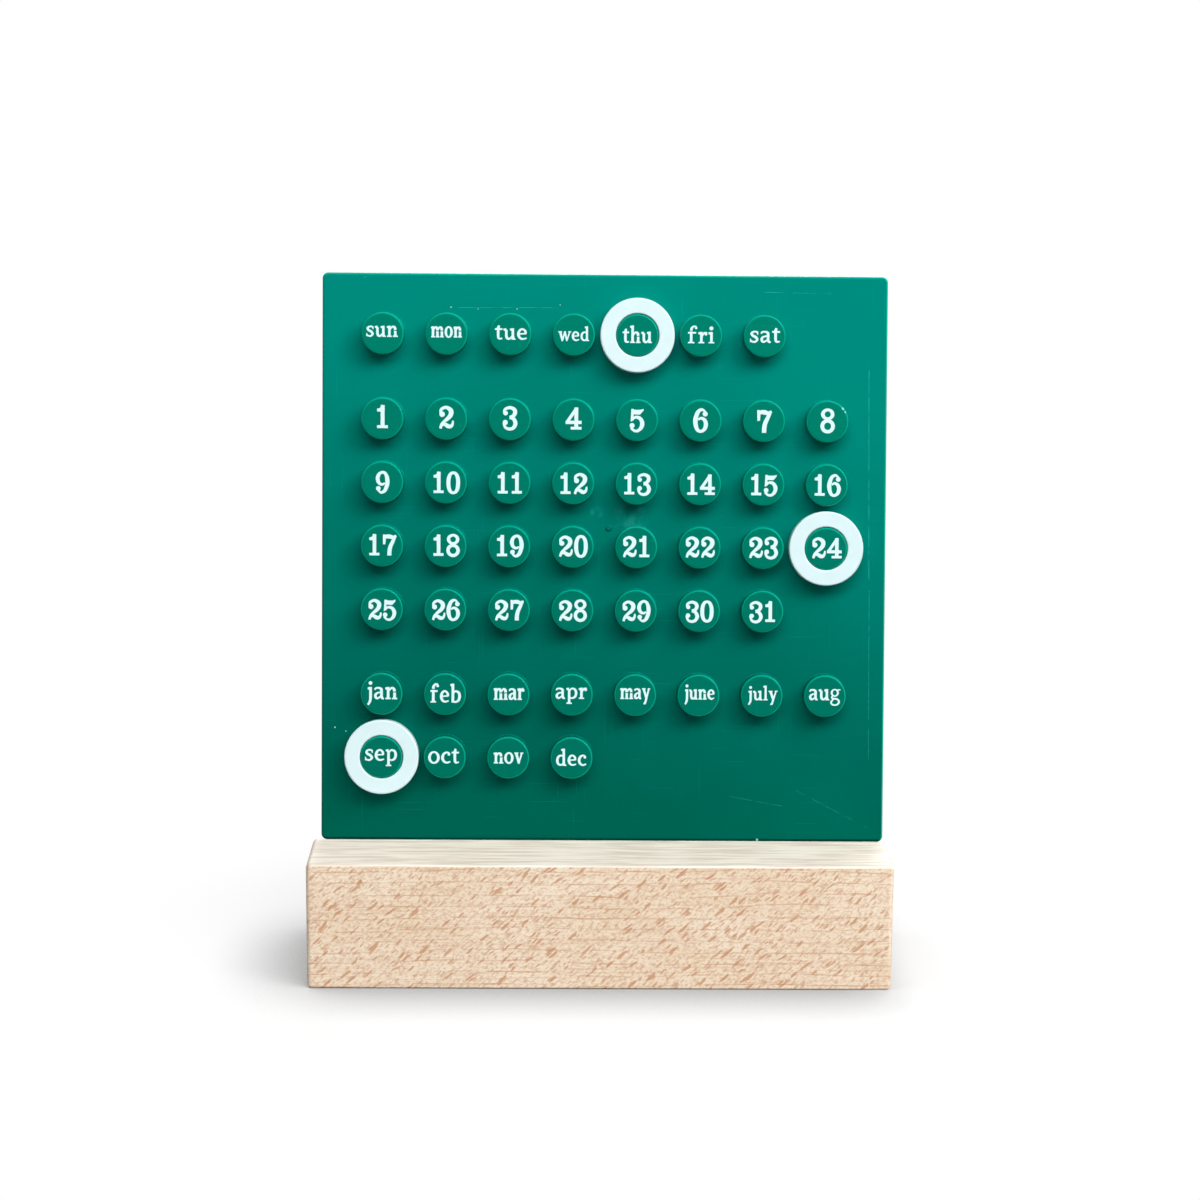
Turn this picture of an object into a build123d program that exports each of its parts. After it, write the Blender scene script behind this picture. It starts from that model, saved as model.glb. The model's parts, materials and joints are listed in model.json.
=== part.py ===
"""Perpetual desk calendar: a moulded panel of pegs that stands in a wooden block, with marker rings.

Frame: origin at the centre of the block's underside, +X to the reader's right, +Y away from the
reader, +Z up. All lengths are in millimetres, angles in degrees.
"""

from build123d import *
import math
import os

# Peg grid. Its groups of rows are the weekdays at the top, then the dates, then the months.
PEG_PITCH = 15.0  # from one peg to the next, along a row and within a group of rows
GROUP_PITCH = 20.0  # from the last row of one group to the first row of the next
WEEKDAY_COUNTS = (7,)  # pegs in each row, from the left
DATE_COUNTS = (8, 8, 8, 7)
MONTH_COUNTS = (8, 4)

# Pegs
PEG_DIAMETER = 10.0
PEG_HEIGHT = 4.5
PEG_TOP_ROUND = 0.5
PEG_ROOT_FILLET = 0.3
PEG_WALL = 2.2  # round the recess that cores each peg from behind
PEG_FACE = 2.4  # plastic left between a peg's face and its recess

# Panel, which leans back from the reader
LEAN = 10.0
PANEL_THICKNESS = 3.0
MARGIN = 14.5  # from the outer pegs' axes to the panel's top and sides
LOWER_MARGIN = 19.78  # from the lowest row's axes to the level of the block's ledge
SHOULDER_DROP = 0.3  # the panel's lower edge is this far below that level, close behind the ledge
CORNER_RADIUS = 1.4
FRONT_ROUND = 0.6
BACK_ROUND = 0.3
PANEL_OFFSET = 0.6  # the panel stands this far to the right of the block's middle

# Tongue, the part of the panel that goes down into the block
TONGUE_WIDTH = 90.0
TONGUE_DEPTH = 12.0  # below the block's top, along the panel's face
TONGUE_LEAD = 1.0  # chamfer on its lower corners
TONGUE_FLARE = 0.5  # fillet where it meets the panel's shoulders
SLOT_PLAY = 0.15  # on each face of the tongue
SLOT_END_PLAY = 0.2  # beyond the nearer end of the tongue

# Block
BLOCK_HEIGHT = 30.0
BLOCK_DEPTH = 48.0
BLOCK_LEDGE = 21.6  # the level part of its top, in front of the panel
BLOCK_FALL = 20.0  # slope of its top from there to its back, so that the shoulders stand clear of it
BLOCK_OVERHANG = 1.3  # past each side of the panel, when that stands in the middle
BLOCK_ARRIS = 0.5  # rounding of its long edges
BLOCK_CORNER = 1.1  # rounding of all the edges of its ends

# Marker rings
RING_WIDTH = 3.7  # from bore to rim
RING_PLAY = 0.1  # on the radius, between ring and peg
RING_ROUND = 0.35
RING_SEATS = {"ring_day": (0, 4), "ring_date": (3, 7), "ring_month": (6, 0)}  # row, column

# Worked out from the sizes above
row_counts = WEEKDAY_COUNTS + DATE_COUNTS + MONTH_COUNTS
columns = max(row_counts)
peg_radius = PEG_DIAMETER / 2
peg_core_radius = peg_radius - PEG_WALL
peg_core_depth = PANEL_THICKNESS + PEG_HEIGHT - PEG_FACE
panel_width = (columns - 1) * PEG_PITCH + 2 * MARGIN
block_width = panel_width + 2 * BLOCK_OVERHANG
block_back_height = BLOCK_HEIGHT - (BLOCK_DEPTH - BLOCK_LEDGE) * math.tan(math.radians(BLOCK_FALL))
slot_width = PANEL_THICKNESS + 2 * SLOT_PLAY
slot_length = TONGUE_WIDTH + 2 * (PANEL_OFFSET + SLOT_END_PLAY) + slot_width
ring_bore_radius = peg_radius + RING_PLAY
ring_radius = ring_bore_radius + RING_WIDTH
ring_thickness = PEG_HEIGHT  # a seated ring is flush with the pegs' faces
ring_back_chamfer = PEG_ROOT_FILLET + RING_PLAY

lean_sin = math.sin(math.radians(LEAN))
lean_cos = math.cos(math.radians(LEAN))

# The panel's face: x across, y up the panel from the level of the ledge, z out of the face. The
# panel's shoulders end just below that level, and only its tongue goes further down.
# The slot's middle lies over the block's middle, so the face is half a thickness in front of it.
face_y = -PANEL_THICKNESS / 2 / lean_cos
face = Plane(
    origin=(PANEL_OFFSET, face_y, BLOCK_HEIGHT), x_dir=(1, 0, 0), z_dir=(0, -lean_cos, lean_sin)
)
back = face.offset(-PANEL_THICKNESS)


def row_heights():
    """Height of each peg row on the panel's face, from the top row down."""
    steps = []
    for group in (WEEKDAY_COUNTS, DATE_COUNTS, MONTH_COUNTS):
        steps += [GROUP_PITCH] + [PEG_PITCH] * (len(group) - 1)
    return [LOWER_MARGIN + sum(steps[row + 1 :]) for row in range(len(steps))]


row_y = row_heights()
panel_top_y = row_y[0] + MARGIN
panel_height = panel_top_y + SHOULDER_DROP


def seat(row, column):
    """Centre of one peg on the panel's face."""
    return ((column - (columns - 1) / 2) * PEG_PITCH, row_y[row])


peg_seats = [seat(row, column) for row, count in enumerate(row_counts) for column in range(count)]


def circles_at(part, radius, height):
    """Circular edges of one radius that lie at one height over the panel's face."""
    edges = part.edges().filter_by(GeomType.CIRCLE)
    return edges.filter_by(
        lambda edge: abs(edge.radius - radius) < 0.01
        and abs(face.to_local_coords(edge.arc_center).Z - height) < 0.01
        and edge.is_closed
    )


def at_height(part, height):
    """Edges that lie wholly at one height over the panel's face."""
    return part.edges().filter_by(
        lambda edge: all(abs(face.to_local_coords(v.center()).Z - height) < 0.01 for v in edge.vertices())
        and abs(face.to_local_coords(edge.center()).Z - height) < 0.01
    )


# The block of wood. Its slot leans with the panel and has the round ends that a cutter leaves.
with BuildPart() as base_block:
    with BuildSketch(Plane.YZ) as block_end:
        with BuildLine() as block_profile:
            Polyline(
                (-BLOCK_DEPTH / 2, 0),
                (BLOCK_DEPTH / 2, 0),
                (BLOCK_DEPTH / 2, block_back_height),
                (BLOCK_LEDGE - BLOCK_DEPTH / 2, BLOCK_HEIGHT),
                (-BLOCK_DEPTH / 2, BLOCK_HEIGHT),
                close=True,
            )
        make_face()
    extrude(amount=block_width / 2, both=True)
    fillet(base_block.faces().filter_by(Axis.X).edges(), radius=BLOCK_CORNER)
    fillet(base_block.edges().filter_by(Axis.X), radius=BLOCK_ARRIS)
    slot_floor = Plane(
        origin=face.from_local_coords((-PANEL_OFFSET, -TONGUE_DEPTH, -PANEL_THICKNESS / 2)),
        x_dir=(1, 0, 0),
        z_dir=face.y_dir,
    )
    with BuildSketch(slot_floor) as slot_plan:
        SlotOverall(slot_length, slot_width)
    extrude(amount=TONGUE_DEPTH + slot_width, mode=Mode.SUBTRACT)
base_block.part.label = "base_block"


# The panel, with its pegs and tongue, is one moulding.
with BuildPart() as peg_panel:
    with BuildSketch(back) as plate_outline:
        with Locations((0, panel_top_y - panel_height / 2)):
            RectangleRounded(panel_width, panel_height, CORNER_RADIUS)
    extrude(amount=PANEL_THICKNESS)
    fillet(at_height(peg_panel, 0), radius=FRONT_ROUND)
    fillet(at_height(peg_panel, -PANEL_THICKNESS), radius=BACK_ROUND)

    with BuildSketch(back) as tongue_outline:
        with BuildLine() as tongue_edge:
            half = TONGUE_WIDTH / 2
            root_y = 2 * FRONT_ROUND
            Polyline(
                (0, root_y),
                (half + TONGUE_FLARE, root_y),
                (half + TONGUE_FLARE, -SHOULDER_DROP),
            )
            flare_end = (half, -SHOULDER_DROP - TONGUE_FLARE)
            RadiusArc((half + TONGUE_FLARE, -SHOULDER_DROP), flare_end, TONGUE_FLARE)
            Polyline(
                flare_end,
                (half, -TONGUE_DEPTH + TONGUE_LEAD),
                (half - TONGUE_LEAD, -TONGUE_DEPTH),
                (0, -TONGUE_DEPTH),
            )
            mirror(about=Plane.YZ)
        make_face()
    extrude(amount=PANEL_THICKNESS)

    with BuildSketch(face) as peg_circles:
        with Locations(*peg_seats):
            Circle(peg_radius)
    extrude(amount=PEG_HEIGHT)
    fillet(circles_at(peg_panel, peg_radius, PEG_HEIGHT), radius=PEG_TOP_ROUND)
    fillet(circles_at(peg_panel, peg_radius, 0), radius=PEG_ROOT_FILLET)

    with BuildSketch(back) as core_circles:
        with Locations(*peg_seats):
            Circle(peg_core_radius)
    extrude(amount=peg_core_depth, mode=Mode.SUBTRACT)
peg_panel.part.label = "peg_panel"


# The marker rings, each seated over one peg.
rings = {}
for ring_name, (row, column) in RING_SEATS.items():
    seat_x, seat_y = seat(row, column)
    ring_plane = face.shift_origin(face.from_local_coords((seat_x, seat_y, 0)))
    with BuildPart() as ring:
        with BuildSketch(ring_plane) as ring_outline:
            Circle(ring_radius)
            Circle(ring_bore_radius, mode=Mode.SUBTRACT)
        extrude(amount=ring_thickness)
        fillet(circles_at(ring, ring_radius, ring_thickness), radius=RING_ROUND)
        fillet(circles_at(ring, ring_radius, 0), radius=RING_ROUND)
        fillet(circles_at(ring, ring_bore_radius, ring_thickness), radius=RING_ROUND)
        chamfer(circles_at(ring, ring_bore_radius, 0), length=ring_back_chamfer)
    ring.part.label = ring_name
    rings[ring_name] = ring


os.makedirs("parts", exist_ok=True)
for piece in (base_block, peg_panel, *rings.values()):
    export_step(piece.part, f"parts/{piece.part.label}.step")
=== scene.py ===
"""Perpetual desk calendar: finishes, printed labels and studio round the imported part.

Frame: origin at the centre of the block's underside, +X to the reader's right, +Y away from the
reader, +Z up, in metres. Labels are drawn in millimetres on the panel's own face.
"""

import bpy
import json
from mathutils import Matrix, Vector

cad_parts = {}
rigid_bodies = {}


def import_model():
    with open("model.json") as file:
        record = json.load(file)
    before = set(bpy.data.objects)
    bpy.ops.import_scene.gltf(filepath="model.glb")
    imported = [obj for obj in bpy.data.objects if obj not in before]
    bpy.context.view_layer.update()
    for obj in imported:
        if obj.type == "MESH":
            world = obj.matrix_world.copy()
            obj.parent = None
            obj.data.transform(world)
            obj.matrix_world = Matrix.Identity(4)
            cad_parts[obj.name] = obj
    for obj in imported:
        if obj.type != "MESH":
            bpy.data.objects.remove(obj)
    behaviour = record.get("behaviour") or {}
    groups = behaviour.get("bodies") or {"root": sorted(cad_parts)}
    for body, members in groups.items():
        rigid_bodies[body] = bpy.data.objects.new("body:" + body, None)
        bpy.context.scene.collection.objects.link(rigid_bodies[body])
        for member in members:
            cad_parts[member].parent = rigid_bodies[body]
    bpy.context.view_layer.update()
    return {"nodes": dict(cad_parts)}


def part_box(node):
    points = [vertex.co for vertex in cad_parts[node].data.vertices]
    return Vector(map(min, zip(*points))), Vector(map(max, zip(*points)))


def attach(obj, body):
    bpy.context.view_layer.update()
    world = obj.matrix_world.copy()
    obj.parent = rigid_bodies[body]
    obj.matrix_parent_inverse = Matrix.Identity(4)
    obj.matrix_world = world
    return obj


bl_info = {
    "name": "Perpetual Desk Calendar",
    "version": (1, 0, 0),
    "blender": (4, 5, 0),
    "location": "3D View > Sidebar > Calendar",
    "description": "Finishes a perpetual desk calendar and prints the labels on its pegs",
    "category": "Object",
}

import functools
import json
import math

import bpy
from bpy.props import FloatProperty, FloatVectorProperty, PointerProperty
from mathutils import Matrix, Vector
from mathutils.geometry import delaunay_2d_cdt

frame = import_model()

MM = 0.001
RINGS = ("ring_day", "ring_date", "ring_month")

# The block, in millimetres. Its top is level as far back as the ledge's end and falls from there on.
BLOCK_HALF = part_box("base_block")[1][0] / MM
BLOCK_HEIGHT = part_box("base_block")[1][2] / MM
LEDGE_END = -2.4
BLOCK_FALL = math.radians(20)

# The panel, in millimetres. Its face leans back from the block's top, and rows of pegs are placed by
# their height up that face.
LEAN = math.radians(10)
PANEL_OFFSET = 0.6
PANEL_THICKNESS = 3.0
FACE_ORIGIN = Vector((PANEL_OFFSET, -PANEL_THICKNESS / 2 / math.cos(LEAN), BLOCK_HEIGHT)) * MM
COLUMNS = 8
PEG_PITCH = 15.0
GROUP_PITCH = 20.0
PEG_HEIGHT = 4.5
LOWEST_ROW = 19.78
MONTH_ROWS = (LOWEST_ROW + PEG_PITCH, LOWEST_ROW)
DATE_ROWS = tuple(MONTH_ROWS[0] + GROUP_PITCH + step * PEG_PITCH for step in (3, 2, 1, 0))
WEEKDAY_ROW = DATE_ROWS[0] + GROUP_PITCH

WEEKDAYS = ("sun", "mon", "tue", "wed", "thu", "fri", "sat")
MONTHS = (
    ("jan", "feb", "mar", "apr", "may", "june", "july", "aug"),
    ("sep", "oct", "nov", "dec"),
)

# Width, x-height, baseline and middle of each word, from the centre of its peg.
WORD_FIT = {
    "sun": (7.40, 2.60, -0.88, -0.14),
    "mon": (7.28, 2.60, -0.92, 0.00),
    "tue": (7.52, 2.70, -1.32, 0.16),
    "wed": (7.28, 2.28, -1.50, -0.04),
    "thu": (6.90, 2.70, -1.85, -0.08),
    "fri": (6.20, 2.67, -1.80, 0.00),
    "sat": (7.10, 2.80, -1.55, 0.06),
    "jan": (7.12, 2.90, -1.27, 0.16),
    "feb": (7.20, 2.95, -2.00, 0.18),
    "mar": (7.30, 2.80, -1.28, 0.16),
    "apr": (7.44, 2.67, -0.95, -0.12),
    "may": (7.10, 2.60, -0.92, 0.00),
    "june": (7.12, 2.45, -0.95, 0.24),
    "july": (7.00, 2.30, -1.05, 0.24),
    "aug": (7.44, 2.67, -0.95, -0.04),
    "sep": (7.56, 2.80, -0.90, -0.06),
    "oct": (7.32, 2.85, -1.45, -0.26),
    "nov": (7.04, 2.65, -1.38, 0.08),
    "dec": (7.20, 2.67, -1.85, -0.04),
}

# Baseline, size and middle of the numbers in each row, and the baselines that differ.
DATE_FIT = ((-2.31, 1.0, 0.05), (-2.50, 0.93, 0.08), (-2.30, 0.93, 0.10), (-2.45, 0.91, 0.10))
DATE_BASELINES = {5: -2.55, 6: -2.6, 7: -2.75, 8: -2.5}

# Marks of use on the panel, in millimetres across its face from the middle and up it: both ends and
# the width of each scratch, the middle and radius of the others.
SCRATCHES = (
    ((62.6, 114.0), (63.1, 62.3), 0.14),
    ((62.6, 114.2), (62.7, 110.5), 0.24),
    ((63.2, 60.0), (63.4, 19.0), 0.10),
    ((-35.0, 126.2), (-9.5, 126.4), 0.10),
    ((37.5, 130.4), (53.5, 130.2), 0.12),
    ((-57.3, 133.0), (-56.6, 133.4), 0.2),
    ((30.0, 10.5), (44.0, 8.0), 0.06),
    ((46.0, 12.0), (63.5, 3.0), 0.06),
)
SPECKS = (
    ((36.95, 0.1), 0.35), ((-36.6, 126.3), 0.22), ((-30.2, 125.9), 0.16), ((-21.0, 126.0), 0.2),
    ((-10.8, 127.0), 0.16), ((-63.8, 26.5), 0.25), ((-61.2, 25.6), 0.2), ((-49.0, 57.0), 0.2),
)
PEG_CHIPS = (((56.2, 102.9), 0.42), ((56.8, 102.1), 0.34))
SMUDGES = (((-1.8, 78.1), 2.0), ((6.0, 76.8), 5.0))
GATE_PLACE = (1.1, 74.3)

# The painted highlight on the panel's right and upper edges and the painted shade line at its foot rise to
# their full strength between these, across the face and up it.
RIGHT_EDGE = (66.3, 66.6)
UPPER_EDGE = (133.5, 133.8)
PAINTED_FOOT_SHADE = (0.5, 0.1)

# Ray flecks of the wood: length and width in millimetres, share of each one's cell, and strength.
FLECK_SLANT = math.radians(42)
FLECK_KINDS = ((4.4, 1.05, 0.50, 0.92), (6.0, 1.35, 0.42, 0.85), (2.3, 0.70, 0.58, 0.6))

# The floor. What the camera sees of it glows by its lift and shows light and shade more strongly than
# the floor that lights the object from below.
FLOOR_HALF = 4.0  # in metres
FLOOR_LIFT = 0.75
FLOOR_SHADE = 1.5
FLOOR_FADE = (75.0, 130.0)  # to white, in millimetres from the middle
# The dark band round the block's foot is painted shade, from an occlusion node in the floor's material.
CONTACT_REACH = 0.026  # of the dark band round the block's foot, in metres
CONTACT_FADE = (45.0, 78.0)  # of that band, in millimetres to the right

# The surround's level, and each lamp's place and size in metres, its power in watts and the height
# over the frame's origin that it points at.
WORLD_LEVEL = 0.05
LAMPS = {
    "key_light": ((0.55, -1.36, 1.70), (3.40, 0.90), 73.0, 0.09),
    "side_light": ((1.40, -1.10, 1.19), (0.70, 0.70), 11.5, 0.09),
    "strip_light": ((0.50, -1.48, 0.77), (2.0, 0.24), 0.8, 0.09),
    "back_light": ((0.60, 1.90, 0.95), (1.60, 0.80), 30.0, 0.09),
    "top_light": ((0.56, 0.04, 1.60), (0.90, 0.70), 1.0, 0.08),
}

# The camera: place in metres, turn in degrees, and lens and sensor in millimetres.
CAMERA_PLACE = (-0.006706, -0.733949, 0.238457)
CAMERA_TURN = (77.3841, -0.6026, -1.1550)
CAMERA_LENS = 95.535
CAMERA_SENSOR = 36.0
CAMERA_SHIFT = (-0.03569, 0.04816)
CAMERA_REACH = 20.0  # in metres


# Letters, in units of a tenth of their x-height. Each part of a letter is a function of how far the
# letter is narrowed, so that narrow words keep the weight of their strokes.

X_HEIGHT = 10
STEM = 2.2
SLAB = 1.2
ASCENDER = 15.3
DESCENDER = -4.4
LETTER_GAP = 0.9


def smooth(points, steps=6):
    """Points of a curve through all the given points, whatever number of values each has."""
    ends = [points[0], *points, points[-1]]
    line = []
    for i in range(len(points) - 1):
        for step in range(steps):
            t = step / steps
            line.append(tuple(
                0.5 * (
                    2 * q + (r - p) * t
                    + (2 * p - 5 * q + 4 * r - s) * t**2
                    + (3 * q - p - 3 * r + s) * t**3
                )
                for p, q, r, s in zip(*ends[i : i + 4])
            ))
    return [*line, tuple(points[-1])]


def stroke(*points):
    """A stroke along (x, y, width) points."""

    def draw(squeeze):
        line = smooth([(x * squeeze, y, width) for x, y, width in points])
        sides = []
        for i, (x, y, width) in enumerate(line):
            x0, y0, _ = line[max(i - 1, 0)]
            x1, y1, _ = line[min(i + 1, len(line) - 1)]
            length = math.hypot(x1 - x0, y1 - y0)
            across = ((y0 - y1) / length * width / 2, (x1 - x0) / length * width / 2)
            sides.append(((x + across[0], y + across[1]), (x - across[0], y - across[1])))
        return [[a[0], a[1], b[1], b[0]] for a, b in zip(sides, sides[1:])]

    return draw


def hoop(x, y, radius_x, radius_y, side, cap, square=1.0, steps=32):
    """A closed loop, as of an o or a zero. Its stroke is side wide at the sides and cap at top and bottom."""

    def draw(squeeze):
        def point(step, inset_x, inset_y):
            turn = step * math.tau / steps
            c, s = math.cos(turn), math.sin(turn)
            c, s = math.copysign(abs(c) ** square, c), math.copysign(abs(s) ** square, s)
            return (x * squeeze + (radius_x * squeeze - inset_x) * c, y + (radius_y - inset_y) * s)

        return [
            [point(k, 0, 0), point(k + 1, 0, 0), point(k + 1, side, cap), point(k, side, cap)]
            for k in range(steps)
        ]

    return draw


def ball(x, y, radius_x, radius_y=None, steps=16):
    """The round end of a stroke, or the dot of an i."""
    radius_y = radius_y or radius_x
    turns = [step * math.tau / steps for step in range(steps)]
    return lambda squeeze: [
        [(x * squeeze + radius_x * math.cos(turn), y + radius_y * math.sin(turn)) for turn in turns]
    ]


def patch(*points):
    """A straight-sided shape."""
    return lambda squeeze: [[(x * squeeze, y) for x, y in points]]


def bar(left, bottom, right, top):
    """A rectangle."""
    return patch((left, bottom), (right, bottom), (right, top), (left, top))


def stem(x, bottom=0, top=X_HEIGHT):
    """An upright stroke, which keeps its full width."""
    return lambda squeeze: [[
        (x * squeeze - STEM / 2, bottom),
        (x * squeeze + STEM / 2, bottom),
        (x * squeeze + STEM / 2, top),
        (x * squeeze - STEM / 2, top),
    ]]


def foot(x, half=2.2, y=0):
    """The slab under a stem."""
    return bar(x - half, y, x + half, y + SLAB)


def flag(x, top=X_HEIGHT):
    """The serif on the left of a stem's top."""
    return patch((x - 2.4, top - 0.4), (x - 2.4, top - 1.7), (x - 1.3, top - 2.4), (x, top - 2.4), (x, top))


def arch(x0, x1):
    """The shoulder of an n, from one stem to the next."""
    middle = (x0 + x1) / 2
    return stroke(
        (x0 + 0.8, 6.9, 1.03), (x0 + 2.0, 8.6, 1.55), (middle + 0.7, 9.25, 1.81),
        (x1 - 0.5, 8.4, 2.24), (x1, 6.3, 2.24),
    )


def cup(x0, x1):
    """The bowl of a u."""
    middle = (x0 + x1) / 2
    return stroke(
        (x1 - 0.8, 3.1, 1.03), (x1 - 2.0, 1.4, 1.55), (middle - 0.7, 0.75, 1.81),
        (x0 + 0.5, 1.6, 2.24), (x0, 3.7, 2.24),
    )


LETTERS = {
    "a": (8.6, [
        stroke((0.9, 7.6, 1.38), (1.6, 8.9, 1.46), (4.0, 9.2, 1.63), (6.0, 8.3, 2.15), (6.3, 6.2, 2.24),
               (6.3, 2.4, 2.24), (6.9, 0.9, 1.98), (8.4, 0.5, 1.29)),
        stroke((5.6, 5.6, 1.29), (3.2, 5.2, 1.46), (1.4, 3.6, 2.06), (1.6, 1.4, 2.06), (3.2, 0.75, 1.63),
               (5.4, 2.2, 1.2)),
    ]),
    "b": (9.6, [
        stem(2.3, 0, ASCENDER), flag(2.3, ASCENDER),
        stroke((2.6, 7.6, 1.2), (4.6, 9.2, 1.63), (7.4, 8.2, 2.06), (8.3, 5.0, 2.24), (7.3, 1.8, 2.06),
               (4.6, 0.65, 1.55), (1.8, 0.9, 1.38)),
    ]),
    "c": (8.0, [
        stroke((7.2, 8.2, 1.55), (5.2, 9.3, 1.55), (2.6, 8.2, 1.98), (1.35, 5.0, 2.32), (2.5, 1.9, 2.06),
               (5.2, 0.75, 1.55), (7.9, 1.8, 1.12)),
        ball(6.7, 7.6, 1.12),
    ]),
    "d": (9.8, [
        stem(7.3, 0, ASCENDER), flag(7.3, ASCENDER),
        stroke((7.1, 7.9, 1.2), (4.9, 9.2, 1.55), (2.4, 8.0, 2.06), (1.4, 4.9, 2.24), (2.3, 1.8, 2.06),
               (4.8, 0.8, 1.55), (7.0, 2.3, 1.2)),
        patch((7.3, 0), (9.8, 0), (9.8, 0.9), (8.6, 1.5), (8.6, 3), (7.3, 3)),
    ]),
    "e": (8.6, [
        stroke((1.4, 4.9, 1.29), (4.4, 5.2, 1.2), (7.6, 5.3, 1.2)),
        stroke((7.3, 5.1, 1.89), (6.9, 7.6, 1.98), (4.7, 9.3, 1.55), (2.4, 8.1, 1.98), (1.35, 5.0, 2.32),
               (2.4, 1.9, 2.06), (5.0, 0.75, 1.55), (8.1, 1.6, 1.12)),
    ]),
    "f": (7.6, [
        stem(2.7, 0, 10.32), foot(2.7, 2.5),
        stroke((2.7, 11, 2.24), (3.1, 13.2, 2.06), (4.9, 14.9, 1.55), (7.0, 14.5, 1.29)),
        ball(6.6, 13.4, 1.07), bar(0.2, 8.5, 6.6, 10),
    ]),
    "g": (9.4, [
        hoop(4.3, 6.7, 3.9, 3.5, 1.8, 1.15),
        patch((5.8, 8.6), (9.6, 8.8), (9.6, 10.1), (6.0, 9.6)),
        stroke((2.4, 4.0, 1.03), (1.5, 2.7, 1.46), (2.6, 1.6, 1.63), (6.2, 1.2, 1.63), (8.0, -0.3, 1.72),
               (7.9, -2.5, 1.72), (5.2, -4.2, 1.38), (2.0, -3.7, 1.55), (0.9, -2.0, 1.63),
               (1.8, -0.2, 1.38), (3.2, 1.0, 1.2)),
    ]),
    "h": (9.8, [
        stem(2.3, 0, ASCENDER), flag(2.3, ASCENDER), arch(2.3, 7.6), stem(7.6, 0, 5.5), foot(2.3), foot(7.6),
    ]),
    "i": (4.6, [stem(2.4), flag(2.4), foot(2.4, 2.3), ball(2.3, 13.2, 1.75)]),
    "j": (4.4, [
        stroke((2.6, 10, 2.24), (2.6, 3, 2.24), (2.4, -0.6, 2.15), (1.5, -2.9, 1.89), (0.3, -4.6, 1.46)),
        flag(2.6), ball(2.5, 13.2, 1.5),
    ]),
    "l": (5.0, [stem(2.5, 0, ASCENDER), flag(2.5, ASCENDER), foot(2.5, 2.4)]),
    "m": (15.0, [
        stem(2.3), flag(2.3), arch(2.3, 7.5), stem(7.5, 0, 5.5), arch(7.5, 12.7), stem(12.7, 0, 5.5),
        foot(2.3), foot(7.5), foot(12.7),
    ]),
    "n": (9.8, [stem(2.3), flag(2.3), arch(2.3, 7.6), stem(7.6, 0, 5.5), foot(2.3), foot(7.6)]),
    "o": (9.6, [hoop(4.8, 5, 4.8, 5.3, 2.25, 1.5)]),
    "p": (9.8, [
        stem(2.4, DESCENDER, 8.6), flag(2.4), foot(2.4, 2.3, DESCENDER),
        stroke((2.8, 7.4, 1.2), (4.8, 9.2, 1.63), (7.5, 8.2, 2.06), (8.4, 5.0, 2.24), (7.4, 1.9, 2.06),
               (4.9, 0.7, 1.55), (2.6, 1.5, 1.2)),
    ]),
    "r": (7.0, [
        stem(2.3), flag(2.3), foot(2.3, 2.3),
        stroke((3.0, 6.4, 1.12), (4.0, 8.5, 1.63), (5.6, 9.3, 1.63), (6.8, 8.9, 1.38)),
        ball(5.9, 8.1, 1.25),
    ]),
    "s": (7.3, [
        stroke((6.3, 8.3, 1.38), (5.0, 9.25, 1.46), (2.9, 9.1, 1.63), (1.5, 7.6, 1.98), (2.6, 5.9, 2.15),
               (4.8, 4.6, 2.15), (6.0, 2.7, 2.06), (4.7, 0.9, 1.63), (2.5, 0.75, 1.46), (0.9, 1.7, 1.38)),
        patch((5.4, 9.3), (6.8, 9.5), (6.8, 6.7), (6.0, 6.7)),
        patch((0.3, 0.3), (1.6, 0.7), (1.1, 3.4), (0.3, 3.4)),
    ]),
    "t": (6.2, [
        stroke((2.7, 10, 2.24), (2.7, 3.2, 2.24), (3.1, 1.3, 1.98), (4.4, 0.8, 1.55), (6.0, 1.3, 1.12)),
        patch((2.6, 12.6), (4.0, 12.2), (4.0, 9), (1.4, 9), (1.4, 10.2)), bar(0, 8.4, 6.1, 9.9),
    ]),
    "u": (9.8, [
        stem(2.2, 3.6, 8.6), flag(2.2), cup(2.2, 7.5), stem(7.5), flag(7.5),
        patch((7.5, 0), (9.8, 0), (9.8, 0.9), (8.8, 1.5), (8.8, 3), (7.5, 3)),
    ]),
    "v": (8.6, [
        patch((0, 10), (2.9, 10), (5.1, 2.6), (4.3, -0.2), (3.6, -0.2)),
        patch((8.6, 10), (6.8, 10), (4.0, 1.6), (3.6, -0.2), (5.0, -0.2)),
        bar(-0.3, 8.9, 3.9, 10), bar(5.9, 8.9, 9.0, 10),
    ]),
    "w": (13.4, [
        patch((0, 10), (2.8, 10), (4.7, 3.0), (4.2, -0.2), (3.3, -0.2)),
        patch((3.4, -0.2), (4.7, -0.2), (7.5, 8.0), (7.3, 10), (6.1, 10)),
        patch((6.1, 10), (7.8, 10), (9.3, 3.0), (9.1, -0.2), (8.2, -0.2)),
        patch((8.3, -0.2), (9.6, -0.2), (13.2, 10), (11.5, 10)),
        bar(-0.4, 8.9, 3.6, 10), bar(10.5, 8.9, 13.7, 10),
    ]),
    "y": (8.8, [
        patch((0, 10), (2.9, 10), (5.4, 2.8), (4.6, 0.2), (3.8, 0)),
        stroke((7.8, 9.8, 1.38), (6.2, 5.0, 1.63), (4.9, 1.0, 1.89), (3.9, -2.2, 1.89), (3.2, -4.2, 1.89)),
        bar(-0.3, 8.9, 3.9, 10), bar(6.3, 8.9, 9.2, 10), bar(1.6, -4.7, 4.0, -3.1),
    ]),
}

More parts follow.
